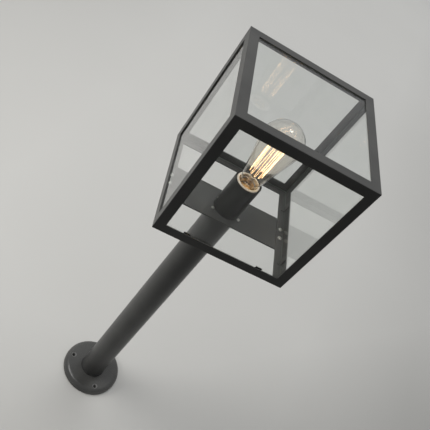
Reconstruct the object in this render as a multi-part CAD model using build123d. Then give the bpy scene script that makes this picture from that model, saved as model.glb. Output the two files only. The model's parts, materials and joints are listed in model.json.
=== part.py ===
from build123d import *
import math
import os

# Garden post light: a square glass lantern on a round post with a screw-down foot.
# Millimetres, +Z up, origin on the ground at the centre of the foot.
# -Y is the front. Every piece of the light is a solid of its own.

# Overall sizes
total_height = 800.0
lantern_side = 210.0
lantern_height = 225.0

# Lantern frame of thin angle profile
flange_width = 15.0
sheet = 1.5
edge_round = 0.8
sides = ("front", "right", "back", "left")
corners = ("front_left", "front_right", "back_right", "back_left")

# Glazing and the clips that hold it
glass_thickness = 2.0
glass_play = 0.2
clip_length = 10.0
clip_height = 15.0
clip_foot = 6.5
clip_sheet = 1.0
clip_inset = 47.0

# Bridge plate across the open bottom of the lantern
bridge_width = 66.0
bridge_thickness = 2.5
bridge_inset = 1.0
bridge_corner = 3.0
rail_screw_pitch = 18.0
rail_screw_gap = 1.8

# Post and the plate welded to its head
post_diameter = 48.0
post_wall = 2.0
head_plate_overhang = 6.0
head_plate_thickness = 3.0
head_plate_bore = 30.0
head_screw_outset = 1.5
head_screw_count = 3

# Cast foot
foot_diameter = 119.0
foot_height = 12.0
foot_edge = 10.0
foot_wall = 3.0
spigot_height = 20.0
spigot_wall = 5.0
spigot_play = 0.1
fixing_inset = 13.5
fixing_count = 3
fixing_hole = 5.0
fixing_sink = 9.5
fixing_turn = -69.0
boss_diameter = 12.0
rib_thickness = 2.5
rib_ground_gap = 3.0
rib_edge_gap = 1.0
cable_bore = 9.0
grommet_seat = 13.0
grommet_flange = 16.6
grommet_lip = 1.5

# Mains connection inside the foot of the post
bracket_width = 14.0
bracket_sheet = 1.2
bracket_height = 56.0
bracket_play = 0.3
block_width = 26.0
block_depth = 14.0
block_height = 22.0
block_level = 30.0
block_corner = 1.5
pole_pitch = 8.0
wire_bore = 3.6
wire_bore_depth = 4.0
pole_screw = 3.8
pole_screw_well = 4.0
pole_screw_length = 3.0
pole_screw_levels = (0.25, 0.75)
earth_screw_level = 16.0
earth_screw_end = 0.8

# Sleeve, ceramic lampholder and their fixings
sleeve_diameter = 44.0
sleeve_height = 66.0
sleeve_wall = 1.2
holder_play = 1.6
holder_below_rim = 0.4
rim_bore = 32.0
rim_depth = 9.0
rim_bevel = 1.0
mouth_slope_height = 2.0
ledge_level = 25.0
chamber_diameter = 20.0
chamber_level = 14.0
nipple_diameter = 10.0
nipple_bore = 7.0
nipple_grip = 8.0
nipple_below_nut = 2.0
nut_across = 14.0
nut_height = 3.0
grub_level = 12.0
grub_diameter = 3.0
grub_proud = 0.4
grub_socket = 1.5
grub_socket_depth = 1.0
terminal_offset = 12.5
terminal_width = 5.0
terminal_height = 9.0
terminal_recess = 1.0
terminal_bore = 2.4
terminal_bore_depth = 5.0
shell_wall = 0.5
shell_lip = 4.0
tongue_sheet = 0.6
tongue_width = 5.0
tongue_bend = 1.0
tongue_margin = 3.0
tongue_hole = 2.4

# Screws
m3_diameter = 3.0
m3_head = 5.5
m3_head_height = 2.0
m4_diameter = 4.0
m4_head = 7.0
m4_head_height = 2.4
m4_nut_across = 7.0
m4_nut_height = 3.2
screw_end = 1.0
screw_play = 0.15
thread_fit = 0.05
slot_width = 0.8
slot_depth = 0.8
slot_turn = 30.0
head_flank = 0.6
head_flat = 0.6

# Bulb with an E27 cap, 64 mm wide
cap_diameter = 26.1
cap_below_rim = 4.0
cap_shell_height = 22.0
cap_wall = 0.6
cap_fold = 3.5
thread_play = 0.3
button_diameter = 9.6
button_thickness = 1.2
button_stem = 4.0
button_stem_rise = 1.0
insulator_height = 3.6
insulator_rise = 2.0
insulator_rim = 1.0
insulator_shoulder = 1.2
contact_gap = 0.3
spin_gap = 0.1
stem_spin_gap = 0.05
bulb_diameter = 64.0
bulb_height = 122.0
bulb_slope = 0.2
neck_diameter = 27.0
neck_height = 1.8
neck_flare_height = 14.4
neck_flare_lean = 7.0
neck_insert = 8.0
neck_insert_gap = 0.2
envelope_wall = 1.0
stem_diameter = 8.0
stem_height = 23.5
stem_wall = 1.4
stem_flare_height = 9.0
stem_pinch = 3.0
stem_floor = 2.0
rod_diameter = 2.4

# Filament cage on its wire hooks
anchor_count = 19
anchor_pitch_angle = 18.0
cage_turn = 5.5
bend_width = 1.9
filament_wire = 0.7
hook_wire = 0.8
hook_gap = 0.1
lead_drop = 7.0
cage_bottom_radius = 11.0
cage_top_radius = 13.0
cage_above_stem = 2.5
cage_headroom = 30.0
hub_diameter = 4.4
hub_height = 3.5

# How far a cut runs past the face it opens
past = 1.0

# Levels and radii that follow from the sizes above
lantern_bottom = total_height - lantern_height
half_side = lantern_side / 2
bridge_bottom = lantern_bottom - bridge_thickness
post_top = bridge_bottom - head_plate_thickness
post_radius = post_diameter / 2
post_bore_radius = post_radius - post_wall
head_plate_radius = post_radius + head_plate_overhang
head_screw_circle = post_diameter + 2 * head_screw_outset
foot_radius = foot_diameter / 2
fixing_circle = foot_diameter - 2 * fixing_inset
spigot_radius = post_bore_radius - spigot_play
spigot_bore_radius = spigot_radius - spigot_wall
bracket_reach = math.sqrt(spigot_bore_radius ** 2 - (bracket_width / 2) ** 2)
bracket_face = bracket_reach - bracket_play - bracket_sheet
sleeve_floor = lantern_bottom + sleeve_wall
sleeve_rim = lantern_bottom + sleeve_height
holder_radius = sleeve_diameter / 2 - sleeve_wall - holder_play
holder_top = sleeve_rim - holder_below_rim
holder_ledge = sleeve_floor + ledge_level
holder_chamber = sleeve_floor + chamber_level
cap_radius = cap_diameter / 2
shell_bore_radius = cap_radius + thread_play
shell_radius = shell_bore_radius + shell_wall
cap_top = sleeve_rim - cap_below_rim
cap_bottom = cap_top - cap_shell_height
button_top = cap_bottom - insulator_height
button_bottom = button_top - button_thickness
glass_outer = half_side - sheet - glass_play
glass_inner = glass_outer - glass_thickness
rail_screw_x = glass_inner - rail_screw_gap - m4_head / 2
clip_offset = half_side - clip_inset
neck_insert_radius = cap_radius - cap_wall - neck_insert_gap
cage_bottom = stem_height + cage_above_stem
cage_top = bulb_height - cage_headroom
pane_bottom = lantern_bottom + sheet
pane_top = total_height - sheet - glass_thickness


def ring(outer_radius, inner_radius, low, high):
    """A plain hollow cylinder from one level to another."""
    outer = Pos(0, 0, low) * extrude(Circle(outer_radius), high - low)
    inner = Pos(0, 0, low) * extrude(Circle(inner_radius), high - low)
    return outer - inner


def disc(radius, low, high):
    return Pos(0, 0, low) * extrude(Circle(radius), high - low)


def block(low, high):
    """A box between two opposite corners."""
    size = [b - a for a, b in zip(low, high)]
    middle = [(a + b) / 2 for a, b in zip(low, high)]
    return Pos(*middle) * Box(*size)


def turned(points, arcs=()):
    """A solid of revolution about Z. An arc is (index of its first point, middle point)."""
    middles = dict(arcs)
    edges = []
    for i, start in enumerate(points):
        end = points[(i + 1) % len(points)]
        if i in middles:
            edges.append(ThreePointArc(to_xz(start), to_xz(middles[i]), to_xz(end)))
        else:
            edges.append(Line(to_xz(start), to_xz(end)))
    return revolve(make_face(Curve() + edges), Axis.Z, 360)


def to_xz(point):
    return (point[0], 0, point[1])


def circle_points(diameter, count, first_angle):
    for k in range(count):
        angle = math.radians(first_angle + 360 * k / count)
        yield diameter / 2 * math.cos(angle), diameter / 2 * math.sin(angle)


def rod_between(start, end, diameter):
    """A round wire from one point to another."""
    path = Line(start, end)
    return sweep(Plane(path @ 0, z_dir=path % 0) * Circle(diameter / 2), path)


def quarter_turn(shape, k):
    return Rot(0, 0, 90 * k) * shape


# Lantern frame

def lantern_frame():
    """The whole welded frame with its foot at level zero: a thin shell with a window in every side."""
    skin = half_side - sheet
    window = half_side - flange_width
    far = half_side + past
    top = lantern_height - flange_width
    hull = block((-half_side, -half_side, 0), (half_side, half_side, lantern_height))
    frame = fillet(hull.edges(), edge_round)
    frame -= block((-skin, -skin, sheet), (skin, skin, lantern_height - sheet))
    frame -= block((-window, -window, -past), (window, window, lantern_height + past))
    frame -= block((-window, -far, flange_width), (window, far, top))
    frame -= block((-far, -window, flange_width), (far, window, top))
    return frame


def front_rail_zone(low, high):
    """The part of the frame's plan that belongs to a front rail, mitred at both ends."""
    corner = half_side + past
    plan = make_face(Polyline((-corner, -corner), (corner, -corner), (0, 0), close=True))
    return Pos(0, 0, low) * extrude(plan, high - low)


def bridge_screw_places():
    """The four screws that hold the bridge plate to the side rails."""
    for x in (-rail_screw_x, rail_screw_x):
        for y in (-rail_screw_pitch / 2, rail_screw_pitch / 2):
            yield x, y


def drill(shape, places, radius, low, high):
    for x, y in places:
        shape -= Pos(x, y, 0) * disc(radius, low, high)
    return shape


def make_rails():
    """Angle rails: one flange on the side face, one on the top or bottom face."""
    frame = lantern_frame()
    place = Pos(0, 0, lantern_bottom)
    bottom = place * (frame & front_rail_zone(-past, flange_width))
    top = place * (frame & front_rail_zone(lantern_height - flange_width, lantern_height + past))
    parts = {}
    for k, side in enumerate(sides):
        rail = quarter_turn(bottom, k)
        if side in ("left", "right"):
            hole = m4_diameter / 2 + screw_play
            rail = drill(rail, bridge_screw_places(), hole, lantern_bottom - past, pane_bottom + past)
        parts["bottom_rail_" + side] = rail
        parts["top_rail_" + side] = quarter_turn(top, k)
    return parts


def make_corner_posts():
    """Upright angles between the bottom rails and the top rails."""
    far = -half_side - past
    end = -half_side + flange_width + past
    zone = block((far, far, flange_width), (end, end, lantern_height - flange_width))
    angle = Pos(0, 0, lantern_bottom) * (lantern_frame() & zone)
    return {"corner_post_" + name: quarter_turn(angle, k) for k, name in enumerate(corners)}


def make_panes():
    """Front and back panes run the full width, and the side panes fit between them."""
    wide = block((-glass_outer, -glass_outer, pane_bottom), (glass_outer, -glass_inner, pane_top))
    narrow_half = glass_inner - glass_play
    narrow = block((-narrow_half, -glass_outer, pane_bottom), (narrow_half, -glass_inner, pane_top))
    roof_top = total_height - sheet
    roof = block((-glass_outer, -glass_outer, pane_top), (glass_outer, glass_outer, roof_top))
    return {
        "glass_front": wide,
        "glass_back": quarter_turn(wide, 2),
        "glass_right": quarter_turn(narrow, 1),
        "glass_left": quarter_turn(narrow, 3),
        "glass_top": roof,
    }


def make_clips():
    """Small bent clips on the bottom rails, two a side, against the inner face of each pane."""
    back = -glass_inner
    path = FilletPolyline(
        (back + clip_sheet / 2, pane_bottom + clip_height),
        (back + clip_sheet / 2, pane_bottom + clip_sheet / 2),
        (back + clip_foot, pane_bottom + clip_sheet / 2),
        radius=clip_sheet,
    )
    profile = trace(path, clip_sheet)
    clip = extrude(Plane.YZ * profile, clip_length / 2, both=True)
    clips = []
    for k in range(4):
        for x in (-clip_offset, clip_offset):
            clips.append(quarter_turn(Pos(x, 0, 0) * clip, k))
    return {"glass_clips": Compound(children=clips)}


# Post, bridge and foot

def head_screw_places():
    """Screws round the sleeve, with two of them level with each other at the front."""
    first_angle = -90 - 180 / head_screw_count
    return circle_points(head_screw_circle, head_screw_count, first_angle)


def make_bridge():
    length = lantern_side - 2 * bridge_inset
    plate = Pos(0, 0, bridge_bottom) * extrude(
        RectangleRounded(length, bridge_width, bridge_corner), bridge_thickness
    )
    over = lantern_bottom + past
    under = bridge_bottom - past
    plate -= disc(nipple_diameter / 2 + screw_play, under, over)
    plate = drill(plate, bridge_screw_places(), m4_diameter / 2 + screw_play, under, over)
    plate = drill(plate, head_screw_places(), m3_diameter / 2 + screw_play, under, over)
    return {"bridge_plate": plate}


def make_post():
    tube = ring(post_radius, post_bore_radius, foot_height, post_top)
    plate = ring(head_plate_radius, head_plate_bore / 2, post_top, bridge_bottom)
    tapped = m3_diameter / 2 + thread_fit
    plate = drill(plate, head_screw_places(), tapped, post_top - past, bridge_bottom + past)
    return {"post_tube": tube, "post_head_plate": plate}


def foot_dish():
    """A low round dish, open below, with a broad rounded edge and a bevel inside it."""
    flat = foot_radius - foot_edge
    diagonal = math.sqrt(0.5)
    edge_level = foot_height - foot_edge
    points = [
        (grommet_seat / 2, foot_height),
        (flat, foot_height),
        (foot_radius, edge_level),
        (foot_radius, 0),
        (foot_radius - foot_wall, 0),
        (foot_radius - foot_wall, edge_level),
        (flat - foot_wall / 2, foot_height - foot_wall),
        (grommet_seat / 2, foot_height - foot_wall),
    ]
    outer_mid = (flat + foot_edge * diagonal, edge_level + foot_edge * diagonal)
    return turned(points, [(1, outer_mid)])


def make_foot():
    """The dish with its spigot for the post, three screw bosses and radial ribs."""
    under = foot_height - foot_wall
    foot = foot_dish()
    foot += ring(spigot_radius, spigot_bore_radius, under, foot_height + spigot_height)
    foot += ring(post_radius, post_radius - foot_wall, rib_ground_gap, under)
    rib_start = post_radius - foot_wall / 2
    rib_end = foot_radius - foot_wall - rib_edge_gap
    rib = block((rib_start, -rib_thickness / 2, rib_ground_gap), (rib_end, rib_thickness / 2, under))
    for k in range(2 * fixing_count):
        foot += Rot(0, 0, fixing_turn + 180 * k / fixing_count) * (rib & disc(rib_end, 0, under))
    hole = fixing_hole / 2
    sink = fixing_sink / 2
    over = foot_height + past
    cone = turned([(0, foot_height - sink), (sink + past, over), (0, over)])
    for x, y in circle_points(fixing_circle, fixing_count, fixing_turn):
        foot += Pos(x, y, 0) * disc(boss_diameter / 2, 0, under)
        foot -= Pos(x, y, 0) * disc(hole, -past, over)
        foot -= Pos(x, y, 0) * cone
    return {"foot_flange": foot}


def make_grommet():
    """A rubber ring snapped into the cable hole of the foot."""
    low = foot_height - foot_wall
    grommet = ring(grommet_seat / 2, cable_bore / 2, low, foot_height)
    grommet += ring(grommet_flange / 2, cable_bore / 2, low - grommet_lip, low)
    grommet += ring(grommet_flange / 2, cable_bore / 2, foot_height, foot_height + grommet_lip)
    return {"cable_grommet": grommet}


def make_connection():
    """A bracket in the foot of the post with a three-pole terminal block and an earth screw."""
    middle = bracket_sheet / 2
    path = FilletPolyline(
        (grommet_flange / 2 + bracket_play, foot_height + middle),
        (bracket_face + middle, foot_height + middle),
        (bracket_face + middle, foot_height + bracket_height),
        radius=bracket_sheet,
    )
    bracket = extrude(Plane.YZ * trace(path, bracket_sheet), bracket_width / 2, both=True)
    low = foot_height + block_level
    high = low + block_height
    face = bracket_face - block_depth
    body = block((-block_width / 2, face, low), (block_width / 2, bracket_face, high))
    body = fillet(body.edges().filter_by(Axis.Z), block_corner)
    screws = []
    for pole in (-1, 0, 1):
        x = pole * pole_pitch
        bore_place = Pos(x, bracket_face - wire_bore_depth, 0)
        body -= bore_place * disc(wire_bore / 2, low - past, high + past)
        for level in pole_screw_levels:
            well = Pos(x, face, low + level * block_height) * Rot(-90, 0, 0)
            body -= well * disc(pole_screw / 2 + thread_fit, -past, pole_screw_well)
            head = pole_screw_well - pole_screw_length
            screws.append(well * disc(pole_screw / 2, head, pole_screw_well))
    earth = Pos(0, bracket_face, foot_height + earth_screw_level) * Rot(90, 0, 0)
    shank = m4_diameter / 2
    bracket -= earth * disc(shank + screw_play, -bracket_sheet - past, past)
    earth_screw = earth * disc(m4_head / 2, 0, m4_head_height)
    earth_screw += earth * disc(shank, -bracket_sheet - earth_screw_end, 0)
    return {
        "terminal_bracket": bracket,
        "terminal_block": body,
        "terminal_screws": Compound(children=screws),
        "earth_screw": earth_screw,
    }


# Screws and nuts

def pan_screw(diameter, head, head_height, length):
    """A slotted screw with a bevelled head, its seat at level zero."""
    flank = head_height * head_flank
    radius = head / 2
    top = radius * head_flat
    points = [
        (0, -length),
        (diameter / 2, -length),
        (diameter / 2, 0),
        (radius, 0),
        (radius, flank),
        (top, head_height),
        (0, head_height),
    ]
    screw = turned(points)
    half_slot = slot_width / 2
    groove_floor = head_height - slot_depth
    groove = block((-radius, -half_slot, groove_floor), (radius, half_slot, head_height + past))
    return screw - groove


def hex_nut(across, height, bore_radius):
    nut = extrude(RegularPolygon(across / math.sqrt(3), 6), height)
    return nut - disc(bore_radius, -past, height + past)


def make_screws():
    long_grip = sheet + bridge_thickness + m4_nut_height + screw_end
    short_grip = bridge_thickness + head_plate_thickness
    rail_screw = Rot(0, 0, slot_turn) * pan_screw(m4_diameter, m4_head, m4_head_height, long_grip)
    head_screw = Rot(0, 0, slot_turn) * pan_screw(m3_diameter, m3_head, m3_head_height, short_grip)
    nut = hex_nut(m4_nut_across, m4_nut_height, m4_diameter / 2 + thread_fit)
    nut_level = bridge_bottom - m4_nut_height
    rail_screws = [Pos(x, y, pane_bottom) * rail_screw for x, y in bridge_screw_places()]
    nuts = [Pos(x, y, nut_level) * nut for x, y in bridge_screw_places()]
    head_screws = [Pos(x, y, lantern_bottom) * head_screw for x, y in head_screw_places()]
    return {
        "bridge_screws": Compound(children=rail_screws),
        "bridge_nuts": Compound(children=nuts),
        "head_screws": Compound(children=head_screws),
    }


# Lampholder

def make_sleeve():
    """A painted cup that hides the lampholder, with a hole for the hollow nipple."""
    radius = sleeve_diameter / 2
    sleeve = disc(radius, lantern_bottom, sleeve_rim)
    sleeve -= disc(radius - sleeve_wall, sleeve_floor, sleeve_rim + past)
    sleeve -= disc(nipple_diameter / 2 + screw_play, lantern_bottom - past, sleeve_floor + past)
    grub_place = Pos(-radius, 0, lantern_bottom + grub_level) * Rot(0, 90, 0)
    grub_end = sleeve_wall + holder_play
    sleeve -= grub_place * disc(grub_diameter / 2, -past, grub_end)
    grub = disc(grub_diameter / 2 - thread_fit, -grub_proud, grub_end - thread_fit)
    socket = extrude(RegularPolygon(grub_socket / math.sqrt(3), 6), grub_socket_depth)
    grub = grub_place * (grub - Pos(0, 0, -grub_proud) * socket)
    return {"holder_sleeve": sleeve, "sleeve_grub_screw": grub}


def terminal_places():
    return ((-terminal_offset, 0), (terminal_offset, 0))


def make_holder():
    """The ceramic lampholder: a wide mouth, the bore for the screw shell and the contact chamber."""
    mouth = rim_bore / 2
    bore = shell_radius + thread_fit
    chamber = chamber_diameter / 2
    nipple = nipple_diameter / 2 + thread_fit
    points = [
        (nipple, sleeve_floor),
        (holder_radius, sleeve_floor),
        (holder_radius, holder_top - rim_bevel),
        (holder_radius - rim_bevel, holder_top),
        (mouth, holder_top),
        (mouth, holder_top - rim_depth + mouth_slope_height),
        (bore, holder_top - rim_depth),
        (bore, holder_ledge),
        (chamber, holder_ledge),
        (chamber, holder_chamber),
        (nipple, holder_chamber),
    ]
    body = turned(points)
    terminals = []
    half = terminal_width / 2
    low = sleeve_floor + terminal_recess
    high = low + terminal_height
    bore_end = low + terminal_bore_depth
    for x, y in terminal_places():
        body -= block((x - half, y - half, sleeve_floor - past), (x + half, y + half, high))
        piece = block((x - half, y - half, low), (x + half, y + half, high))
        terminals.append(piece - Pos(x, y, 0) * disc(terminal_bore / 2, low - past, bore_end))
    return {"lampholder_body": body, "holder_terminals": Compound(children=terminals)}


def make_shell():
    """The brass screw shell in the ceramic, turned in at its foot."""
    shell = ring(shell_radius, shell_bore_radius, holder_ledge, holder_top - rim_depth)
    shell += ring(shell_radius, shell_radius - shell_lip, holder_ledge, holder_ledge + shell_wall)
    return {"screw_shell": shell}


def make_centre_contact():
    """A sprung brass tongue that rises through the shell to the bulb's contact."""
    low = holder_chamber + tongue_sheet / 2
    high = button_bottom - contact_gap - tongue_sheet / 2
    reach = chamber_diameter / 2 - tongue_margin
    fold = button_diameter / 2
    path = FilletPolyline(
        (-reach, low),
        (fold, low),
        (fold, (low + high) / 2),
        (-fold / 2, high),
        (fold, high),
        radius=tongue_bend,
    )
    tongue = extrude(Plane.XZ * trace(path, tongue_sheet), tongue_width / 2, both=True)
    tongue -= disc(tongue_hole / 2, holder_chamber - past, holder_chamber + past)
    return {"centre_contact": tongue}


def make_nipple():
    """The hollow threaded tube that ties lampholder, sleeve and bridge together, and its nut."""
    low = bridge_bottom - nut_height - nipple_below_nut
    nipple = ring(nipple_diameter / 2, nipple_bore / 2, low, sleeve_floor + nipple_grip)
    nut = hex_nut(nut_across, nut_height, nipple_diameter / 2 + thread_fit)
    return {"holder_nipple": nipple, "holder_nut": Pos(0, 0, bridge_bottom - nut_height) * nut}


# Bulb

def make_cap():
    """The bulb's screw cap, its insulator and the contact button below it."""
    cap = ring(cap_radius, cap_radius - cap_wall, cap_bottom, cap_top)
    cap += ring(cap_radius, cap_radius - cap_fold, cap_bottom, cap_bottom + cap_wall)
    seat = button_diameter / 2 + insulator_rim
    stem_bore = button_stem / 2 + stem_spin_gap
    insulator = turned(
        [
            (stem_bore, button_top + spin_gap),
            (seat, button_top + spin_gap),
            (cap_radius - insulator_shoulder, cap_bottom),
            (cap_radius - cap_fold, cap_bottom),
            (cap_radius - cap_fold, cap_bottom + insulator_rise),
            (stem_bore, cap_bottom + insulator_rise),
        ]
    )
    half_button = button_thickness / 2
    button = turned(
        [
            (0, button_bottom),
            (button_diameter / 2 - half_button, button_bottom),
            (button_diameter / 2, button_top - half_button),
            (button_diameter / 2, button_top),
            (button_stem / 2, button_top),
            (button_stem / 2, cap_bottom + button_stem_rise),
            (0, cap_bottom + button_stem_rise),
        ]
    )
    return {"bulb_cap": cap, "bulb_insulator": insulator, "bulb_contact": button}


def dome_tangent(radius):
    """Where the bulb's cone runs into its round dome, and the middle of the dome's arc."""
    centre = cap_top + bulb_height - bulb_diameter / 2
    lean = math.atan(bulb_slope)
    touch = (radius * math.cos(lean), centre - radius * math.sin(lean))
    half = (math.pi / 2 - lean) / 2
    middle = (radius * math.cos(half), centre + radius * math.sin(half))
    return touch, middle, (0, centre + radius)


def envelope_outline(offset):
    """Right half of the bulb's outline, drawn in by offset: neck, flare, cone and dome."""
    neck = neck_diameter / 2 - offset
    touch, middle, top = dome_tangent(bulb_diameter / 2 - offset)
    flare_end_level = cap_top + neck_flare_height
    flare_end = (touch[0] - bulb_slope * (touch[1] - flare_end_level), flare_end_level)
    start = (neck, cap_top + neck_height)
    return start, flare_end, touch, middle, top


def neck_flare(start, end):
    """A smooth curve from the nearly upright neck to the leaning cone."""
    lean = math.tan(math.radians(neck_flare_lean))
    return Spline(to_xz(start), to_xz(end), tangents=[(lean, 0, 1), (bulb_slope, 0, 1)])


def make_envelope():
    """The clear glass bulb: a spherical dome on a cone that narrows to the neck in the cap."""
    insert_low = cap_top - neck_insert
    outer = envelope_outline(0)
    inner = envelope_outline(envelope_wall)
    insert_inner = neck_insert_radius - envelope_wall
    edges = [
        Line(to_xz(inner[0]), to_xz((insert_inner, cap_top))),
        Line(to_xz((insert_inner, cap_top)), to_xz((insert_inner, insert_low))),
        Line(to_xz((insert_inner, insert_low)), to_xz((neck_insert_radius, insert_low))),
        Line(to_xz((neck_insert_radius, insert_low)), to_xz((neck_insert_radius, cap_top))),
        Line(to_xz((neck_insert_radius, cap_top)), to_xz((outer[0][0], cap_top))),
        Line(to_xz((outer[0][0], cap_top)), to_xz(outer[0])),
        Line(to_xz(outer[4]), to_xz(inner[4])),
    ]
    for start, flare_end, touch, middle, top in (outer, inner):
        edges.append(neck_flare(start, flare_end))
        edges.append(Line(to_xz(flare_end), to_xz(touch)))
        edges.append(ThreePointArc(to_xz(touch), to_xz(middle), to_xz(top)))
    return {"bulb_glass": revolve(make_face(Curve() + edges), Axis.Z, 360)}


def make_stem():
    """The inner glass stem: a flared foot in the neck, a pinched tube and the rod up to the hooks."""
    low = cap_top - neck_insert
    waist = low + stem_flare_height
    top = cap_top + stem_height
    outer = stem_diameter / 2
    flare = neck_insert_radius - envelope_wall
    points = [
        (flare, low),
        (flare, low + stem_wall),
        (outer, waist),
        (outer, top - stem_pinch),
        (rod_diameter / 2, top),
        (rod_diameter / 2, cap_top + cage_top),
        (0, cap_top + cage_top),
        (0, waist),
        (outer - stem_wall, waist - stem_floor),
        (flare - stem_wall, low),
    ]
    stem = turned(points)
    for level in (cap_top + cage_bottom, cap_top + cage_top - hub_height):
        stem += disc(hub_diameter / 2, level, level + hub_height)
    return {"bulb_stem": stem}


def anchor_ring(index):
    """The radius and level of an anchor. The anchors are low and high by turns."""
    if index % 2 == 0:
        return cage_bottom_radius, cap_top + cage_bottom
    return cage_top_radius, cap_top + cage_top


def anchor_point(index, side):
    """Where the wire comes to an anchor, on one side of it. The ring has a gap at the back."""
    radius, level = anchor_ring(index)
    turn = cage_turn - 90 + (index - (anchor_count - 1) / 2) * anchor_pitch_angle
    angle = math.radians(turn) + side * bend_width / 2 / radius
    return Vector(radius * math.cos(angle), radius * math.sin(angle), level)


def strand(index):
    """The ends of the strand from one anchor to the next."""
    return anchor_point(index, 1), anchor_point(index + 1, -1)


def anchor_bend(index):
    """The outermost point of the wire's bend at an anchor, tangent to the strand on either side."""
    start, first = strand(index - 1)
    second, end = strand(index)
    arriving = (first - start).normalized()
    leaving = (end - second).normalized()
    outward = (arriving - leaving).normalized()
    across = second - first
    lean = arriving.dot(across.normalized())
    rise = across.length / 2 * (1 - lean) / arriving.dot(outward)
    return (first + second) * 0.5 + outward * rise


def make_filament():
    """One six-sided wire up and down between the lower and the upper anchors."""
    last = anchor_count - 2
    edges = []
    for k in range(last + 1):
        start, end = strand(k)
        edges.append(Line(start, end))
        if k < last:
            edges.append(ThreePointArc(end, anchor_bend(k + 1), strand(k + 1)[0]))
    path = Wire([part.edge() for part in edges])
    section = Plane(path @ 0, z_dir=path % 0) * RegularPolygon(filament_wire / 2, 6)
    return {"bulb_filament": sweep(section, path)}


def make_hooks():
    """Spider wires from the rod to the bends, and the two leads to the filament's ends."""
    wires = []
    for k in range(1, anchor_count - 1):
        bend = anchor_bend(k)
        hub_low = cap_top + (cage_bottom if k % 2 == 0 else cage_top - hub_height)
        flat = Vector(bend.X, bend.Y, 0).normalized()
        start = flat * (hub_diameter / 4) + Vector(0, 0, hub_low + hub_height / 2)
        inside = filament_wire / 2 + hook_wire / 2 + hook_gap
        wire = rod_between(start, bend - flat * inside, hook_wire)
        wires.append(wire - disc(hub_diameter / 2, hub_low, hub_low + hub_height))
    for end in (strand(0)[0], strand(anchor_count - 2)[1]):
        tip = end - Vector(0, 0, hook_wire / 2 + hook_gap)
        flat = Vector(tip.X, tip.Y, 0).normalized()
        start = flat * (stem_diameter / 4) + Vector(0, 0, cap_top + stem_height - lead_drop)
        wire = rod_between(start, tip, hook_wire)
        wires.append(wire - disc(stem_diameter / 2, cap_top, cap_top + stem_height - stem_pinch))
    return {"bulb_hooks": Compound(children=wires)}


def main():
    makers = (
        make_rails,
        make_corner_posts,
        make_panes,
        make_clips,
        make_bridge,
        make_post,
        make_foot,
        make_grommet,
        make_connection,
        make_screws,
        make_sleeve,
        make_holder,
        make_shell,
        make_centre_contact,
        make_nipple,
        make_cap,
        make_envelope,
        make_stem,
        make_filament,
        make_hooks,
    )
    os.makedirs("parts", exist_ok=True)
    for make in makers:
        for name, shape in make().items():
            shape.label = name
            export_step(shape, "parts/" + name + ".step")


main()
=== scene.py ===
import bmesh
import bpy
import json
import math
from mathutils import Matrix, Vector


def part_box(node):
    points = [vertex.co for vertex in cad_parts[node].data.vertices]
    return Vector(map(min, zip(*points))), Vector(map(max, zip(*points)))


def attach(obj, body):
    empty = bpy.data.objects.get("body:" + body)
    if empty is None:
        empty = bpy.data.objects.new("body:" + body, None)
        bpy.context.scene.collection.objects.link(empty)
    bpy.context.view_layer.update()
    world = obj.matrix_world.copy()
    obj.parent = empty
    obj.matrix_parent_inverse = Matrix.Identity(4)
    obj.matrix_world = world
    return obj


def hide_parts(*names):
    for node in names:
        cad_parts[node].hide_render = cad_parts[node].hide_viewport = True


# Garden post light, dressed for the camera. Metres, +Z up, -Y is the front.

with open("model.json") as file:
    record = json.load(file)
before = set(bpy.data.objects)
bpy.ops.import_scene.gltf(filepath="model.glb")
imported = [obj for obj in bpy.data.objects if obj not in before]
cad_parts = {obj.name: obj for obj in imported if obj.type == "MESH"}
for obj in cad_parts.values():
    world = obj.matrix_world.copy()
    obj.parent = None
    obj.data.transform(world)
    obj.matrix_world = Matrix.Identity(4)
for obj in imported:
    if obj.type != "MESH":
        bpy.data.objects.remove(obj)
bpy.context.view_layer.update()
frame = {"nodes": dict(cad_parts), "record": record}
nodes = frame["nodes"]

# Camera, found from the lantern's corners and the foot
CAMERA_PLACE = (-0.26618, -0.70228, 1.19616)
CAMERA_AXES = (
    (0.864362, -0.428935, -0.262475),
    (0.127609, 0.691961, -0.710567),
    (0.486409, 0.580693, 0.652841),
)
CAMERA_LENS = 53.445
SENSOR_WIDTH = 36.0

# Screw holes of the foot
FOOT_HOLE_CIRCLE = 0.046
FOOT_HOLE_RIM = 0.0044
FOOT_HOLE_ANGLES = (-69, 51, 171)


# Node helpers

def new_material(name):
    """A material with its Principled shader and its output."""
    material = bpy.data.materials.new(name)
    material.use_nodes = True
    tree = material.node_tree
    tree.nodes.clear()
    shader = tree.nodes.new("ShaderNodeBsdfPrincipled")
    output = tree.nodes.new("ShaderNodeOutputMaterial")
    tree.links.new(shader.outputs["BSDF"], output.inputs["Surface"])
    return material, tree, shader, output


def noise(tree, scale, detail=2.0, roughness=0.5, stretch=None):
    """Noise in the object's own coordinates, in metres."""
    place = tree.nodes.new("ShaderNodeTexCoord")
    source = place.outputs["Object"]
    if stretch:
        mapping = tree.nodes.new("ShaderNodeMapping")
        mapping.inputs["Scale"].default_value = stretch
        tree.links.new(source, mapping.inputs["Vector"])
        source = mapping.outputs["Vector"]
    texture = tree.nodes.new("ShaderNodeTexNoise")
    texture.inputs["Scale"].default_value = scale
    texture.inputs["Detail"].default_value = detail
    texture.inputs["Roughness"].default_value = roughness
    tree.links.new(source, texture.inputs["Vector"])
    return texture.outputs["Fac"]


def spread(tree, source, low, high, start=0.35, end=0.65):
    """A value between low and high, driven by a texture."""
    node = tree.nodes.new("ShaderNodeMapRange")
    node.inputs["From Min"].default_value = start
    node.inputs["From Max"].default_value = end
    node.inputs["To Min"].default_value = low
    node.inputs["To Max"].default_value = high
    tree.links.new(source, node.inputs["Value"])
    return node.outputs["Result"]


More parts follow.
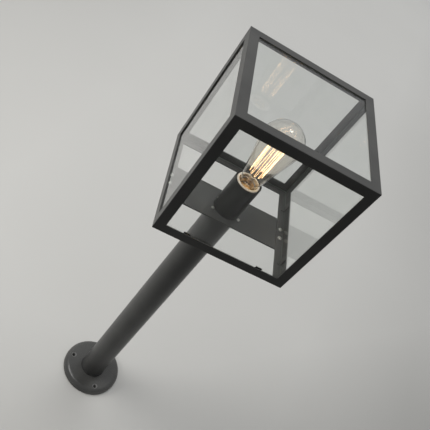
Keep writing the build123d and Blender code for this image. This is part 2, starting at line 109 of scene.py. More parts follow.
def blend_colours(tree, source, first, second, start=0.35, end=0.65):
    """A colour between two, driven by a texture."""
    ramp = tree.nodes.new("ShaderNodeValToRGB")
    ramp.color_ramp.elements[0].position = start
    ramp.color_ramp.elements[0].color = (*first, 1)
    ramp.color_ramp.elements[1].position = end
    ramp.color_ramp.elements[1].color = (*second, 1)
    tree.links.new(source, ramp.inputs["Fac"])
    return ramp.outputs["Color"]


def math_node(tree, operation, first, second):
    """A value worked out from two others, each a number or a socket."""
    node = tree.nodes.new("ShaderNodeMath")
    node.operation = operation
    for k, value in enumerate((first, second)):
        if isinstance(value, float):
            node.inputs[k].default_value = value
        else:
            tree.links.new(value, node.inputs[k])
    return node.outputs["Value"]


def bump(tree, shader, source, strength, distance, before=None):
    """Relief from a texture, over an earlier relief if there is one."""
    node = tree.nodes.new("ShaderNodeBump")
    node.inputs["Strength"].default_value = strength
    node.inputs["Distance"].default_value = distance
    tree.links.new(source, node.inputs["Height"])
    if before is not None:
        tree.links.new(before, node.inputs["Normal"])
    tree.links.new(node.outputs["Normal"], shader.inputs["Normal"])
    return node.outputs["Normal"]


def lamps_pass(tree, shader, output, tint):
    """Glass lets the light of the lamps through to what is behind it."""
    path = tree.nodes.new("ShaderNodeLightPath")
    clear = tree.nodes.new("ShaderNodeBsdfTransparent")
    clear.inputs["Color"].default_value = (*tint, 1)
    mix = tree.nodes.new("ShaderNodeMixShader")
    tree.links.new(path.outputs["Is Shadow Ray"], mix.inputs["Fac"])
    tree.links.new(shader.outputs["BSDF"], mix.inputs[1])
    tree.links.new(clear.outputs["BSDF"], mix.inputs[2])
    tree.links.new(mix.outputs["Shader"], output.inputs["Surface"])


# Materials

def paint_material(name="powder_coat", painted_light_scale=1.0, rough=0.37):
    """Dark powder coat with a fine grain and a slight orange peel."""
    material, tree, shader, _ = new_material(name)
    grain = noise(tree, 2600, 3)
    peel = noise(tree, 700, 2)
    cloud = noise(tree, 18, 3)
    # The colour scale makes lighter and darker copies of this coat: painted light and painted shade.
    low = tuple(painted_light_scale * value for value in (0.045, 0.045, 0.0435))
    high = tuple(painted_light_scale * value for value in (0.058, 0.058, 0.0555))
    colour = blend_colours(tree, cloud, low, high)
    tree.links.new(colour, shader.inputs["Base Color"])
    tree.links.new(spread(tree, grain, rough - 0.07, rough + 0.07), shader.inputs["Roughness"])
    shader.inputs["IOR"].default_value = 1.5
    first = bump(tree, shader, peel, 0.25, 0.00008)
    bump(tree, shader, grain, 0.35, 0.00005, first)
    return material


def foot_paint_material():
    """The same coat on the cast foot, glossier, with its colour raised as painted light, and paler in a
    ring round the rim of each screw hole.
    """
    # A lighter copy of the coat: painted light on the foot.
    material = paint_material("foot_coat_painted_light", 1.25, 0.22)
    tree = material.node_tree
    shader = next(node for node in tree.nodes if node.type == "BSDF_PRINCIPLED")
    paint = shader.inputs["Base Color"].links[0].from_socket
    place = tree.nodes.new("ShaderNodeTexCoord")
    flat = tree.nodes.new("ShaderNodeVectorMath")
    flat.operation = "MULTIPLY"
    flat.inputs[1].default_value = (1, 1, 0)
    tree.links.new(place.outputs["Object"], flat.inputs[0])
    nearest = None
    for angle in FOOT_HOLE_ANGLES:
        away = tree.nodes.new("ShaderNodeVectorMath")
        away.operation = "DISTANCE"
        turn = math.radians(angle)
        hole = (FOOT_HOLE_CIRCLE * math.cos(turn), FOOT_HOLE_CIRCLE * math.sin(turn), 0)
        away.inputs[1].default_value = hole
        tree.links.new(flat.outputs["Vector"], away.inputs[0])
        reach = away.outputs["Value"]
        nearest = reach if nearest is None else math_node(tree, "MINIMUM", nearest, reach)
    # Paler in a ring round the rim of each screw hole, mottled by noise.
    off_rim = math_node(tree, "ABSOLUTE", math_node(tree, "SUBTRACT", nearest, FOOT_HOLE_RIM), 0.0)
    rim_ring = spread(tree, off_rim, 0.65, 0.0, 0.0002, 0.001)
    rim_ring_mottled = math_node(tree, "MULTIPLY", rim_ring, spread(tree, noise(tree, 300, 2), 0.45, 1.0))
    mix = tree.nodes.new("ShaderNodeMix")
    mix.data_type = "RGBA"
    tree.links.new(rim_ring_mottled, mix.inputs["Factor"])
    tree.links.new(paint, mix.inputs["A"])
    mix.inputs["B"].default_value = (0.42, 0.42, 0.41, 1)
    tree.links.new(mix.outputs["Result"], shader.inputs["Base Color"])
    return material


def zinc_material():
    """Bright zinc on turned steel."""
    material, tree, shader, _ = new_material("zinc")
    turning = noise(tree, 900, 2, stretch=(1, 1, 6))
    colour = blend_colours(tree, turning, (0.68, 0.67, 0.62), (0.84, 0.83, 0.78))
    tree.links.new(colour, shader.inputs["Base Color"])
    tree.links.new(spread(tree, turning, 0.22, 0.38), shader.inputs["Roughness"])
    shader.inputs["Metallic"].default_value = 1.0
    bump(tree, shader, turning, 0.15, 0.00004)
    return material


def brass_material():
    """Bright turned brass."""
    material, tree, shader, _ = new_material("brass")
    turning = noise(tree, 700, 3, stretch=(1, 1, 5))
    colour = blend_colours(tree, turning, (0.62, 0.45, 0.2), (0.8, 0.62, 0.33))
    tree.links.new(colour, shader.inputs["Base Color"])
    tree.links.new(spread(tree, turning, 0.24, 0.4), shader.inputs["Roughness"])
    shader.inputs["Metallic"].default_value = 1.0
    bump(tree, shader, turning, 0.15, 0.00004)
    return material


def ceramic_material():
    """Glazed white ceramic with a faint speckle."""
    material, tree, shader, _ = new_material("glazed_ceramic")
    speckle = noise(tree, 1500, 4, 0.7)
    cloud = noise(tree, 90, 2)
    colour = blend_colours(tree, cloud, (0.78, 0.74, 0.68), (0.86, 0.82, 0.76))
    tree.links.new(colour, shader.inputs["Base Color"])
    tree.links.new(spread(tree, speckle, 0.16, 0.3), shader.inputs["Roughness"])
    shader.inputs["Coat Weight"].default_value = 0.4
    shader.inputs["Coat Roughness"].default_value = 0.08
    bump(tree, shader, speckle, 0.12, 0.00006)
    return material


def plastic_material(name, first, second, rough, grain_scale=1800):
    """Moulded plastic or rubber with a fine grain."""
    material, tree, shader, _ = new_material(name)
    grain = noise(tree, grain_scale, 3)
    tree.links.new(blend_colours(tree, grain, first, second), shader.inputs["Base Color"])
    tree.links.new(spread(tree, grain, rough - 0.06, rough + 0.06), shader.inputs["Roughness"])
    bump(tree, shader, grain, 0.25, 0.00005)
    return material


def solder_material():
    """Dull, lumpy solder."""
    material, tree, shader, _ = new_material("solder")
    lumps = noise(tree, 500, 3)
    colour = blend_colours(tree, lumps, (0.45, 0.45, 0.46), (0.62, 0.62, 0.62))
    tree.links.new(colour, shader.inputs["Base Color"])
    tree.links.new(spread(tree, lumps, 0.3, 0.5), shader.inputs["Roughness"])
    shader.inputs["Metallic"].default_value = 1.0
    bump(tree, shader, lumps, 0.3, 0.0001)
    return material


def pane_material():
    """Clear float glass, a little wavy, with faint wipe marks."""
    material, tree, shader, output = new_material("pane_glass")
    wave = noise(tree, 9, 1)
    smear = noise(tree, 30, 3, stretch=(1, 1, 0.3))
    colour = blend_colours(tree, smear, (0.955, 0.97, 0.96), (0.975, 0.985, 0.98))
    tree.links.new(colour, shader.inputs["Base Color"])
    tree.links.new(spread(tree, smear, 0.0, 0.012, 0.5, 0.75), shader.inputs["Roughness"])
    shader.inputs["IOR"].default_value = 1.52
    shader.inputs["Transmission Weight"].default_value = 1.0
    bump(tree, shader, wave, 0.05, 0.0004)
    lamps_pass(tree, shader, output, (0.9, 0.91, 0.905))
    return material


def bulb_glass_material():
    """Thin blown glass with a faint amber cast that is stronger near the neck."""
    material, tree, shader, output = new_material("bulb_glass")
    wave = noise(tree, 35, 2)
    place = tree.nodes.new("ShaderNodeTexCoord")
    split = tree.nodes.new("ShaderNodeSeparateXYZ")
    tree.links.new(place.outputs["Object"], split.inputs["Vector"])
    clear = spread(tree, split.outputs["Z"], 0.0, 1.0, 0.68, 0.74)
    cloud = math_node(tree, "ADD", clear, spread(tree, wave, -0.15, 0.15))
    colour = blend_colours(tree, cloud, (1.0, 0.955, 0.89), (1.0, 0.985, 0.965), 0.0, 1.0)
    tree.links.new(colour, shader.inputs["Base Color"])
    shader.inputs["Roughness"].default_value = 0.03
    shader.inputs["IOR"].default_value = 1.5
    shader.inputs["Transmission Weight"].default_value = 1.0
    bump(tree, shader, wave, 0.1, 0.0005)
    lamps_pass(tree, shader, output, (0.95, 0.88, 0.76))
    return material


def wire_material():
    """Drawn nickel wire, darkened by heat."""
    material, tree, shader, _ = new_material("hook_wire")
    drawn = noise(tree, 1200, 2)
    colour = blend_colours(tree, drawn, (0.28, 0.25, 0.22), (0.4, 0.36, 0.31))
    tree.links.new(colour, shader.inputs["Base Color"])
    tree.links.new(spread(tree, drawn, 0.35, 0.5), shader.inputs["Roughness"])
    shader.inputs["Metallic"].default_value = 1.0
    return material


def filament_material():
    """The glowing wire, a little uneven in its colour."""
    material, tree, shader, _ = new_material("filament_glow")
    flicker = noise(tree, 260, 2)
    shader.inputs["Base Color"].default_value = (0.9, 0.5, 0.2, 1)
    shader.inputs["Roughness"].default_value = 0.5
    colour = blend_colours(tree, flicker, (1.0, 0.63, 0.31), (1.0, 0.73, 0.43))
    tree.links.new(colour, shader.inputs["Emission Color"])
    shader.inputs["Emission Strength"].default_value = 5.0
    return material


def ground_edge_material():
    """The matt green-white edge of cut float glass."""
    material, tree, shader, _ = new_material("ground_glass_edge")
    grain = noise(tree, 1400, 3)
    colour = blend_colours(tree, grain, (0.2, 0.26, 0.23), (0.3, 0.37, 0.34))
    tree.links.new(colour, shader.inputs["Base Color"])
    tree.links.new(spread(tree, grain, 0.35, 0.6), shader.inputs["Roughness"])
    bump(tree, shader, grain, 0.3, 0.00005)
    return material


def cement_material():
    """Tan basing cement, a little lumpy."""
    material, tree, shader, _ = new_material("basing_cement")
    lumps = noise(tree, 420, 4, 0.6)
    pits = noise(tree, 900, 2)
    colour = blend_colours(tree, lumps, (0.72, 0.48, 0.2), (0.95, 0.74, 0.4), 0.4, 0.6)
    tree.links.new(colour, shader.inputs["Base Color"])
    tree.links.new(spread(tree, pits, 0.45, 0.8), shader.inputs["Roughness"])
    bump(tree, shader, lumps, 0.5, 0.0004)
    return material


SLOT_MATERIALS = {
    "black_paint": paint_material(),
    "pane_glass": pane_material(),
    "zinc_steel": zinc_material(),
    "ceramic": ceramic_material(),
    "brass": brass_material(),
    "solder": solder_material(),
    "black_rubber": plastic_material("rubber", (0.018, 0.018, 0.018), (0.03, 0.03, 0.03), 0.75),
    "white_plastic": plastic_material(
        "white_plastic", (0.74, 0.74, 0.71), (0.8, 0.8, 0.77), 0.45
    ),
    "black_insulator": plastic_material(
        "glass_insulator", (0.012, 0.012, 0.016), (0.02, 0.02, 0.025), 0.2
    ),
    "bulb_glass": bulb_glass_material(),
    "hook_wire": wire_material(),
    "filament": filament_material(),
}


def set_material(obj, material):
    """One material in place of all that a piece has."""
    obj.data.materials.clear()
    obj.data.materials.append(material)


for part in frame["record"]["subparts"]:
    set_material(nodes[part["node"]], SLOT_MATERIALS[part["material_slot"]])
set_material(nodes["foot_flange"], foot_paint_material())
# The sleeve inside the lantern gets a darker copy of the coat: painted shade.
set_material(nodes["holder_sleeve"], paint_material("sleeve_coat_painted_shade", 0.2))


# Pieces in more detail than their solids. Sizes in millimetres, as in the solids

MM = 0.001
TAU = 2 * math.pi
CAP_TOP = 637.0
CAP_BOTTOM = 615.0
CAP_RADIUS = 13.05
CAP_FOLD_RADIUS = 9.55
SKIRT_BOTTOM = 629.0
SHELL_TOP = 631.6
SHELL_BOTTOM = 601.2
SHELL_FOLD_RADIUS = 9.85
THREAD_PITCH = 25.4 / 7
THREAD_DEPTH = 0.95
THREAD_PLAY = 0.22
LANTERN_BOTTOM = 575.0
RAIL_INSIDE = 576.5
POST_TOP = 569.5
POST_RADIUS = 24.0
FOOT_TOP = 12.0
RAIL_SCREW_X = 96.0
RAIL_SCREW_Y = 9.0
HEAD_SCREW_CIRCLE = 25.5
HEAD_SCREW_ANGLES = (-150, -30, 90)
SLOT_TURN = 30
SLOT_STEP = 47
SLOT_WIDTH = 0.8
SLOT_DEPTH = 0.85
ANCHOR_COUNT = 19
ANCHOR_STEP = 18
CAGE_TURN = 5.5
CAGE_LOW = (11.0, 663.0)
CAGE_HIGH = (13.0, 729.0)
BEND_WIDTH = 1.9
FILAMENT_WIRE = 0.3


def make_piece(name, points, faces, material, body, replaced=(), smooth=40):
    """A mesh from points in millimetres, on its body, in place of the solids that it stands for."""
    mesh = bpy.data.meshes.new(name)
    mesh.from_pydata([(x * MM, y * MM, z * MM) for x, y, z in points], [], faces)
    mesh.validate()
    return dress_piece(name, mesh, material, body, replaced, smooth)


def dress_piece(name, mesh, material, body, replaced=(), smooth=40):
    """A finished mesh as a piece: smooth faces, sharp edges, its body, slot and replaced nodes."""
    shape = bmesh.new()
    shape.from_mesh(mesh)
    bmesh.ops.recalc_face_normals(shape, faces=shape.faces)
    sharp = math.radians(smooth)
    for face in shape.faces:
        face.smooth = True
    for edge in shape.edges:
        edge.smooth = len(edge.link_faces) == 2 and edge.calc_face_angle(0) < sharp
    shape.to_mesh(mesh)
    shape.free()
    piece = bpy.data.objects.new(name, mesh)
    bpy.context.scene.collection.objects.link(piece)
    if not mesh.materials:
        mesh.materials.append(material)
    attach(piece, body)
    if replaced:
        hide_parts(*replaced)
    return piece


def ring_faces(rows, columns, closed):
    """Quads of a grid that goes round an axis. A closed grid joins its last row to its first."""
    faces = []
    for i in range(rows if closed else rows - 1):
        here = i * columns
        there = (i + 1) % rows * columns
        for j in range(columns):
            k = (j + 1) % columns
            faces.append((here + j, here + k, there + k, there + j))
    return faces


def lathe(profile, columns, closed=True):
    """A surface of revolution about Z. A profile row is (radius, level), or a function of the angle."""
    points = []
    for row in profile:
        for j in range(columns):
            angle = TAU * j / columns
            radius, level = row(angle) if callable(row) else row
            points.append((radius * math.cos(angle), radius * math.sin(angle), level))
    return points, ring_faces(len(profile), columns, closed)


def thread_depth(level, angle):
    """How far the round thread lies below its crest."""
    phase = TAU * (level - CAP_BOTTOM) / THREAD_PITCH - angle
    return THREAD_DEPTH * (0.5 - 0.5 * math.cos(phase))


def thread_row(level, crest, fade):
    """A profile row at one level of a thread."""
    def row(angle):
        return crest - fade * thread_depth(level, angle), level
    return row


def thread_rows(low, high, crest, runout):
    """Rows of a thread that fades out over runout at both ends."""
    step = THREAD_PITCH / 14
    count = round((high - low) / step)
    rows = []
    for i in range(count + 1):
        level = low + (high - low) * i / count
        fade = min(1.0, (level - low) / runout, (high - level) / runout)
        rows.append(thread_row(level, crest, fade))
    return rows


def make_bulb_cap():
    """The bulb's brass cap, rolled with its thread below a plain skirt."""
    wall = 0.35
    low = CAP_BOTTOM + 1.0
    high = SKIRT_BOTTOM - 0.5
    outside = thread_rows(low, high, CAP_RADIUS, 1.2)
    inside = thread_rows(low, high, CAP_RADIUS - wall, 1.2)
    profile = [
        (CAP_FOLD_RADIUS, CAP_BOTTOM + wall),
        (CAP_FOLD_RADIUS, CAP_BOTTOM),
        (CAP_RADIUS - 1.0, CAP_BOTTOM),
        (CAP_RADIUS - 0.3, CAP_BOTTOM + 0.3),
        *outside,
        (CAP_RADIUS, CAP_TOP - 0.5),
        (CAP_RADIUS - 0.05, CAP_TOP - 0.1),
        (CAP_RADIUS - 0.15, CAP_TOP),
        (CAP_RADIUS - wall, CAP_TOP),
        *reversed(inside),
        (CAP_RADIUS - 1.2, CAP_BOTTOM + wall),
    ]
    points, faces = lathe(profile, 96)
    brass = SLOT_MATERIALS["brass"]
    make_piece("bulb_cap_threaded", points, faces, brass, "bulb", ["bulb_cap"], 60)


def make_screw_shell():
    """The lampholder's threaded shell, a little wider than the cap in it."""
    wall = 0.4
    bore = CAP_RADIUS + THREAD_PLAY
    low = SHELL_BOTTOM + 1.0
    high = SHELL_TOP - 0.6
    inside = thread_rows(low, high, bore, 1.2)
    outside = thread_rows(low, high, bore + wall, 1.2)
    profile = [
        (SHELL_FOLD_RADIUS, SHELL_BOTTOM),
        (bore - 0.4, SHELL_BOTTOM),
        *outside,
        (bore + 0.5, SHELL_TOP),
        (bore + 0.3, SHELL_TOP),
        *reversed(inside),
        (bore - 0.6, SHELL_BOTTOM + wall),
        (SHELL_FOLD_RADIUS, SHELL_BOTTOM + wall),
    ]
    points, faces = lathe(profile, 96)
    brass = SLOT_MATERIALS["brass"]
    make_piece("screw_shell_threaded", points, faces, brass, "post_light", ["screw_shell"], 60)


def screw_mesh(diameter, pitch, head, height, length):
    """One screw, not yet slotted, with a domed head and a thread, its seat at level zero."""
    crest = diameter / 2
    depth = 0.5 * pitch
    columns = 28
    tip = 0.6
    taper = 0.35
    runout = 0.4
    arris = 0.12

    def shank_row(level):
        def row(angle):
            swing = 0.5 - 0.5 * math.cos(TAU * level / pitch - angle)
            fade = min(1.0, (level + length) / tip)
            groove = depth * swing * min(1.0, -level / runout)
            return (crest - taper) + taper * fade - groove, level
        return row

    rows = round(length / (pitch / 6))
    profile = [shank_row(-length + length * i / rows) for i in range(rows + 1)]
    radius = head / 2
    flank = 0.3 * height
    profile += [(radius - arris, 0.0), (radius, arris), (radius, flank)]
    for i in range(1, 7):
        angle = TAU / 4 * i / 7
        profile.append((radius * math.cos(angle), flank + (height - flank) * math.sin(angle)))
    points, faces = lathe(profile, columns, closed=False)
    faces.append(tuple(reversed(range(columns))))
    faces.append(tuple(range(len(points) - columns, len(points))))
    return points, faces


def cut_slot(points, faces, radius, height):
    """The screw's mesh with a slot cut across its head."""
    mesh = bpy.data.meshes.new("screw")
    mesh.from_pydata(points, [], faces)
    shape = bmesh.new()
    shape.from_mesh(mesh)
    bmesh.ops.recalc_face_normals(shape, faces=shape.faces)
    shape.to_mesh(mesh)
    shape.free()
    screw = bpy.data.objects.new("screw", mesh)
    box = bpy.data.meshes.new("slot")
    shape = bmesh.new()
    bmesh.ops.create_cube(shape, size=1.0)
    size = Matrix.Diagonal((2.4 * radius, SLOT_WIDTH, 2.0, 1.0))
    place = Matrix.Translation((0, 0, height + 1.0 - SLOT_DEPTH))
    bmesh.ops.transform(shape, matrix=place @ size, verts=shape.verts)
    shape.to_mesh(box)
    shape.free()
    tool = bpy.data.objects.new("slot", box)
    for thing in (screw, tool):
        bpy.context.scene.collection.objects.link(thing)
    cut = screw.modifiers.new("cut", "BOOLEAN")
    cut.operation = "DIFFERENCE"
    cut.solver = "EXACT"
    cut.object = tool
    graph = bpy.context.evaluated_depsgraph_get()
    result = bpy.data.meshes.new_from_object(screw.evaluated_get(graph))
    for thing in (screw, tool):
        bpy.data.objects.remove(thing)
    return result


def make_screws(name, places, level, replaced, **sizes):
    """Copies of one screw at their places, as one piece."""
    points, faces = screw_mesh(**sizes)
    one = cut_slot(points, faces, sizes["head"] / 2, sizes["height"])
    shape = bmesh.new()
    for k, (x, y) in enumerate(places):
        turned = Matrix.Rotation(math.radians(SLOT_TURN + SLOT_STEP * k), 4, "Z")
        placed = Matrix.Scale(MM, 4) @ Matrix.Translation((x, y, level)) @ turned
        copy = one.copy()
        copy.transform(placed)
        shape.from_mesh(copy)
        bpy.data.meshes.remove(copy)
    mesh = bpy.data.meshes.new(name)
    shape.to_mesh(mesh)
    shape.free()
    dress_piece(name, mesh, SLOT_MATERIALS["zinc_steel"], "post_light", [replaced], 50)


def make_panes():
    """Each pane with its ground edges and arrises."""
    for side in ("front", "back", "left", "right", "top"):
        node = "glass_" + side
        low, high = (Vector(corner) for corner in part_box(node))
        size = high - low
        across = min(range(3), key=lambda k: size[k])
        shape = bmesh.new()
        bmesh.ops.create_cube(shape, size=1.0)
        place = Matrix.Translation((low + high) / 2) @ Matrix.Diagonal((*size, 1.0))
        bmesh.ops.transform(shape, matrix=place, verts=shape.verts)
        bmesh.ops.bevel(shape, geom=shape.edges[:], offset=0.0003, segments=1, affect="EDGES")
        for face in shape.faces:
            face.material_index = 0 if abs(face.normal[across]) > 0.99 else 1
        mesh = bpy.data.meshes.new("pane_" + side)
        shape.to_mesh(mesh)
        shape.free()
        mesh.materials.append(SLOT_MATERIALS["pane_glass"])
        mesh.materials.append(GROUND_EDGE)
        dress_piece("pane_" + side, mesh, None, "post_light", [node], 20)


def make_weld_bead():
    """The weld between the post and the plate at its head, with its ripples."""
    columns = 288
    section = 8
    leg = 1.9

    def bead_row(i):
        lean = TAU / 4 * i / (section - 1)

        def row(angle):
            ripple = leg + 0.14 * math.sin(64 * angle) + 0.12 * math.sin(7 * angle + 1.1)
            out = POST_RADIUS + ripple * math.sin(lean) ** 1.2
            return out, POST_TOP - ripple * math.cos(lean) ** 1.2
        return row

    profile = [bead_row(i) for i in range(section)]
    profile.append((POST_RADIUS - 0.02, POST_TOP))
    points, faces = lathe(profile, columns)
    make_piece("head_weld", points, faces, SLOT_MATERIALS["black_paint"], "post_light")


def make_foot_seal():
    """A thin bead of dark sealant where the post stands on its foot."""
    section = 8
    leg = 1.3

    def bead_row(i):
        lean = TAU / 4 * i / (section - 1)

        def row(angle):
            size = leg + 0.12 * math.sin(9 * angle) + 0.07 * math.sin(23 * angle + 0.6)
            return POST_RADIUS + size * math.cos(lean), FOOT_TOP + size * math.sin(lean)
        return row

    profile = [bead_row(i) for i in range(section)]
    profile.append((POST_RADIUS - 0.02, FOOT_TOP))
    points, faces = lathe(profile, 180)
    make_piece("foot_seal", points, faces, SLOT_MATERIALS["black_rubber"], "post_light")


def make_cement():
    """The tan basing cement that shows through the bulb's neck: a collar round it and a plug below."""
    bore = 1.2
    rim = 11.5
    floor = SKIRT_BOTTOM - 6.0
    collar_inside = 12.3
    collar_outside = 12.66
    columns = 64

    def lumpy(radius, level, size):
        def row(angle):
            wave = math.sin(5 * angle + radius) + 0.6 * math.sin(11 * angle - 2 * radius)
            return radius, level + size * wave
        return row

    profile = [
        (bore, floor),
        (rim, floor),
        (rim, SKIRT_BOTTOM - 1.4),
        lumpy(rim - 0.8, SKIRT_BOTTOM - 0.9, 0.12),
        lumpy(9.0, SKIRT_BOTTOM - 1.6, 0.22),
        lumpy(6.5, SKIRT_BOTTOM - 2.3, 0.25),
        lumpy(4.2, SKIRT_BOTTOM - 2.5, 0.2),
        (bore, SKIRT_BOTTOM - 2.6),
    ]
    plug = lathe(profile, columns)
    top = CAP_TOP - 0.3
    collar = lathe([
        (collar_inside, SKIRT_BOTTOM + 0.3),
        (collar_outside, SKIRT_BOTTOM + 0.3),
        (collar_outside, top),
        lumpy(12.5, top + 0.15, 0.08),
        lumpy(collar_inside, top, 0.08),
    ], columns)
    count = len(plug[0])
    points = plug[0] + collar[0]
    faces = plug[1] + [tuple(k + count for k in face) for face in collar[1]]
    make_piece("basing_cement", points, faces, CEMENT, "bulb")


def anchor_point(index, side):
    """Where the filament comes to an anchor, on one side of it."""
    radius, level = CAGE_HIGH if index % 2 else CAGE_LOW
    turn = CAGE_TURN - 90 + (index - (ANCHOR_COUNT - 1) / 2) * ANCHOR_STEP
    angle = math.radians(turn) + side * BEND_WIDTH / 2 / radius
    return Vector((radius * math.cos(angle), radius * math.sin(angle), level))


def anchor_bend(index, steps):
    """The round bend over an anchor, between the strands on either side of it."""
    first = anchor_point(index, -1)
    second = anchor_point(index, 1)
    arriving = (first - anchor_point(index - 1, 1)).normalized()
    leaving = (anchor_point(index + 1, -1) - second).normalized()
    outward = (arriving - leaving).normalized()
    across = (second - first).normalized()
    half = (second - first).length / 2
    lean = math.asin(arriving.dot(across))
    centre = (first + second) / 2 - outward * half * math.tan(lean)
    radius = half / math.cos(lean)
    points = []
    for i in range(steps + 1):
        angle = lean + (math.pi - 2 * lean) * i / steps
        points.append(centre - across * radius * math.cos(angle) + outward * radius * math.sin(angle))
    return points


def tube(path, radius, columns):
    """A round wire along a path, with its ends closed."""
    points = []
    side = None
    for i, here in enumerate(path):
        ahead = path[min(i + 1, len(path) - 1)] - path[max(i - 1, 0)]
        ahead.normalize()
        side = ahead.orthogonal() if side is None else side - ahead * side.dot(ahead)
        side.normalize()
        other = ahead.cross(side)
        for j in range(columns):
            angle = TAU * j / columns
            points.append(here + (side * math.cos(angle) + other * math.sin(angle)) * radius)
    faces = ring_faces(len(path), columns, closed=False)
    faces.append(tuple(reversed(range(columns))))
    faces.append(tuple(range(len(points) - columns, len(points))))
    return [tuple(p) for p in points], faces


def make_filament():
    """The glowing wire, round, up and down over all its anchors."""
    path = [anchor_point(0, 1)]
    for k in range(1, ANCHOR_COUNT - 1):
        path += anchor_bend(k, 8)
    path.append(anchor_point(ANCHOR_COUNT - 1, -1))
    points, faces = tube(path, FILAMENT_WIRE / 2, 10)
    glow = SLOT_MATERIALS["filament"]
    make_piece("bulb_filament_round", points, faces, glow, "bulb", ["bulb_filament"], 60)


GROUND_EDGE = ground_edge_material()
CEMENT = cement_material()
make_bulb_cap()
make_screw_shell()
rail_places = [(x, y) for x in (-RAIL_SCREW_X, RAIL_SCREW_X) for y in (-RAIL_SCREW_Y, RAIL_SCREW_Y)]
make_screws("rail_screws", rail_places, RAIL_INSIDE, "bridge_screws",
            diameter=4.0, pitch=0.7, head=7.0, height=2.4, length=8.2)
head_places = [
    (HEAD_SCREW_CIRCLE * math.cos(math.radians(a)), HEAD_SCREW_CIRCLE * math.sin(math.radians(a)))
    for a in HEAD_SCREW_ANGLES
]
make_screws("plate_screws", head_places, LANTERN_BOTTOM, "head_screws",
            diameter=3.0, pitch=0.5, head=5.5, height=2.0, length=5.5)
make_panes()
make_weld_bead()
make_foot_seal()
make_cement()
make_filament()


# Floor, light and camera. Metres

FLOOR_REACH = 12.0
FLOOR_LEVEL = -0.0005
# Painted shade: the floor's colour in front of the view, for reflections and bounced light only.
FLOOR_FRONT_SHADE = (0.12, 0.12, 0.116, 1)
KEY_PLACE = (-1.0, 0.25, 2.3)
SIDE_PLACE = (-1.95, 0.1, 1.05)
SIDE_SIZE = (1.5, 0.4)
OVERHEAD_PLACE = (0.2, 0.55, 2.9)
WASH_PLACE = (1.0, 2.9, 3.4)
WARM = (1.0, 0.985, 0.96)
PALE = (1.0, 0.99, 0.97)
WHITE = (1.0, 1.0, 1.0)
COOL = (0.98, 0.99, 1.0)


def fade(tree, split, across, along, start, end, least):
    """A factor of painted shade that falls from one to its least value across the floor."""
    first = math_node(tree, "MULTIPLY", split.outputs["X"], across)
    second = math_node(tree, "MULTIPLY", split.outputs["Y"], along)
    return spread(tree, math_node(tree, "ADD", first, second), 1.0, least, start, end)


def make_floor():
    """A pale floor, much larger than the view, with painted shade that darkens it a little towards three
    sides.

    Its front part, outside the view, has painted shade in reflections and in the light it gives back.
    """
    side = FLOOR_REACH
    mesh = bpy.data.meshes.new("floor")
    corners = [(-side, -side, 0), (side, -side, 0), (side, side, 0), (-side, side, 0)]
    mesh.from_pydata([(x, y, FLOOR_LEVEL) for x, y, z in corners], [], [(0, 1, 2, 3)])
    floor = bpy.data.objects.new("floor", mesh)
    bpy.context.scene.collection.objects.link(floor)
    material, tree, shader, _ = new_material("floor_paper")
    cloud = noise(tree, 1.1, 3)
    pale = blend_colours(tree, cloud, (0.545, 0.54, 0.52), (0.565, 0.56, 0.54))
    place = tree.nodes.new("ShaderNodeTexCoord")
    split = tree.nodes.new("ShaderNodeSeparateXYZ")
    tree.links.new(place.outputs["Object"], split.inputs["Vector"])
    # The darker front part, used only for rays other than camera and transmission rays: painted shade in
    # reflections.
    front = spread(tree, split.outputs["Y"], 1.0, 0.0, -0.7, -0.1)
    # Painted shadow and painted shade: darker towards the front right, in place of the lantern's soft
    # shadow, and towards the right and the back left, in place of the light's fall-off.
    painted_shadow_front_right = fade(tree, split, 0.53, -0.85, 0.04, 0.32, 0.8)
    right = fade(tree, split, 1.0, -0.3, 0.45, 0.8, 0.88)
    painted_shade_back_left = fade(tree, split, -1.0, 0.3, 0.45, 0.95, 0.88)
    painted_shade = math_node(tree, "MULTIPLY", painted_shadow_front_right, math_node(tree, "MULTIPLY", right, painted_shade_back_left))
    painted_shade_colour = tree.nodes.new("ShaderNodeVectorMath")
    painted_shade_colour.operation = "SCALE"
    tree.links.new(pale, painted_shade_colour.inputs[0])
    tree.links.new(painted_shade, painted_shade_colour.inputs["Scale"])
    path = tree.nodes.new("ShaderNodeLightPath")
    seen = math_node(tree, "MAXIMUM", path.outputs["Is Camera Ray"], path.outputs["Is Transmission Ray"])
    unseen = math_node(tree, "SUBTRACT", 1.0, seen)
    front_shade_mask = math_node(tree, "MULTIPLY", front, unseen)
    mix = tree.nodes.new("ShaderNodeMix")
    mix.data_type = "RGBA"
    tree.links.new(front_shade_mask, mix.inputs["Factor"])
    mix.inputs["B"].default_value = FLOOR_FRONT_SHADE
    tree.links.new(painted_shade_colour.outputs["Vector"], mix.inputs["A"])
    tree.links.new(mix.outputs["Result"], shader.inputs["Base Color"])
    shader.inputs["Roughness"].default_value = 0.9
    shader.inputs["Specular IOR Level"].default_value = 0.1
    floor.data.materials.append(material)


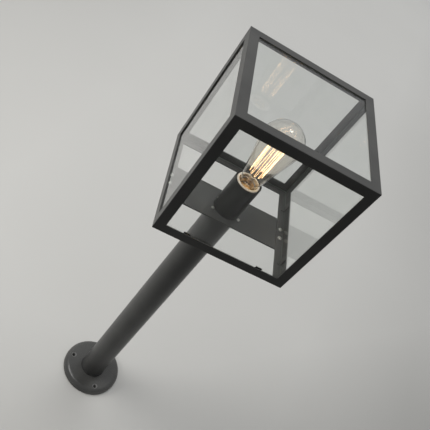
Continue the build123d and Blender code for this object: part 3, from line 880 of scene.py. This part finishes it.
def make_world():
    """A soft studio room: paler behind the light, dimmer on the camera's side."""
    world = bpy.data.worlds.new("studio")
    bpy.context.scene.world = world
    world.use_nodes = True
    tree = world.node_tree
    tree.nodes.clear()
    place = tree.nodes.new("ShaderNodeTexCoord")
    split = tree.nodes.new("ShaderNodeSeparateXYZ")
    tree.links.new(place.outputs["Generated"], split.inputs["Vector"])
    across = spread(tree, split.outputs["Y"], 0.26, 0.44, -0.4, 0.9)
    back = tree.nodes.new("ShaderNodeBackground")
    back.inputs["Color"].default_value = (0.98, 0.99, 1.0, 1)
    tree.links.new(across, back.inputs["Strength"])
    seen = tree.nodes.new("ShaderNodeBackground")
    seen.inputs["Color"].default_value = (0.57, 0.565, 0.545, 1)
    path = tree.nodes.new("ShaderNodeLightPath")
    mix = tree.nodes.new("ShaderNodeMixShader")
    output = tree.nodes.new("ShaderNodeOutputWorld")
    tree.links.new(path.outputs["Is Camera Ray"], mix.inputs["Fac"])
    tree.links.new(back.outputs["Background"], mix.inputs[1])
    tree.links.new(seen.outputs["Background"], mix.inputs[2])
    tree.links.new(mix.outputs["Shader"], output.inputs["Surface"])


def make_lamp(name, place, target, size, power, colour, glossy=True, through=False):
    """A soft lamp. Glossy: it shows in reflections. Through: it shows in and through glass."""
    light = bpy.data.lights.new(name, "AREA")
    light.shape = "ELLIPSE"
    light.size, light.size_y = size
    light.energy = power
    light.color = colour
    lamp = bpy.data.objects.new(name, light)
    lamp.location = place
    aim = Vector(target) - Vector(place)
    lamp.rotation_euler = aim.to_track_quat("-Z", "Y").to_euler()
    lamp.visible_camera = False
    lamp.visible_glossy = glossy
    lamp.visible_transmission = through
    bpy.context.scene.collection.objects.link(lamp)


def make_camera():
    """The photo's view."""
    data = bpy.data.cameras.new("camera")
    data.lens = CAMERA_LENS
    data.sensor_width = SENSOR_WIDTH
    data.clip_start = 0.01
    camera = bpy.data.objects.new("camera", data)
    camera.matrix_world = Matrix.Translation(CAMERA_PLACE) @ Matrix(CAMERA_AXES).to_4x4()
    bpy.context.scene.collection.objects.link(camera)
    bpy.context.scene.camera = camera


make_floor()
make_world()
make_lamp("key", KEY_PLACE, (-0.2, 0.2, 0.0), (1.1, 1.1), 16, WARM)
make_lamp("side", SIDE_PLACE, (0.0, 0.0, 0.1), SIDE_SIZE, 12, PALE, glossy=False)
make_lamp("side_shine", SIDE_PLACE, (0.0, 0.0, 0.1), SIDE_SIZE, 5, PALE)
make_lamp("overhead", OVERHEAD_PLACE, (0.0, 0.0, 0.75), (0.65, 0.65), 8, WHITE, through=True)
make_lamp("wash", WASH_PLACE, (1.0, 2.9, 0.0), (3.4, 3.4), 74, COOL, glossy=False)
make_camera()
bpy.context.scene.view_settings.view_transform = "Standard"
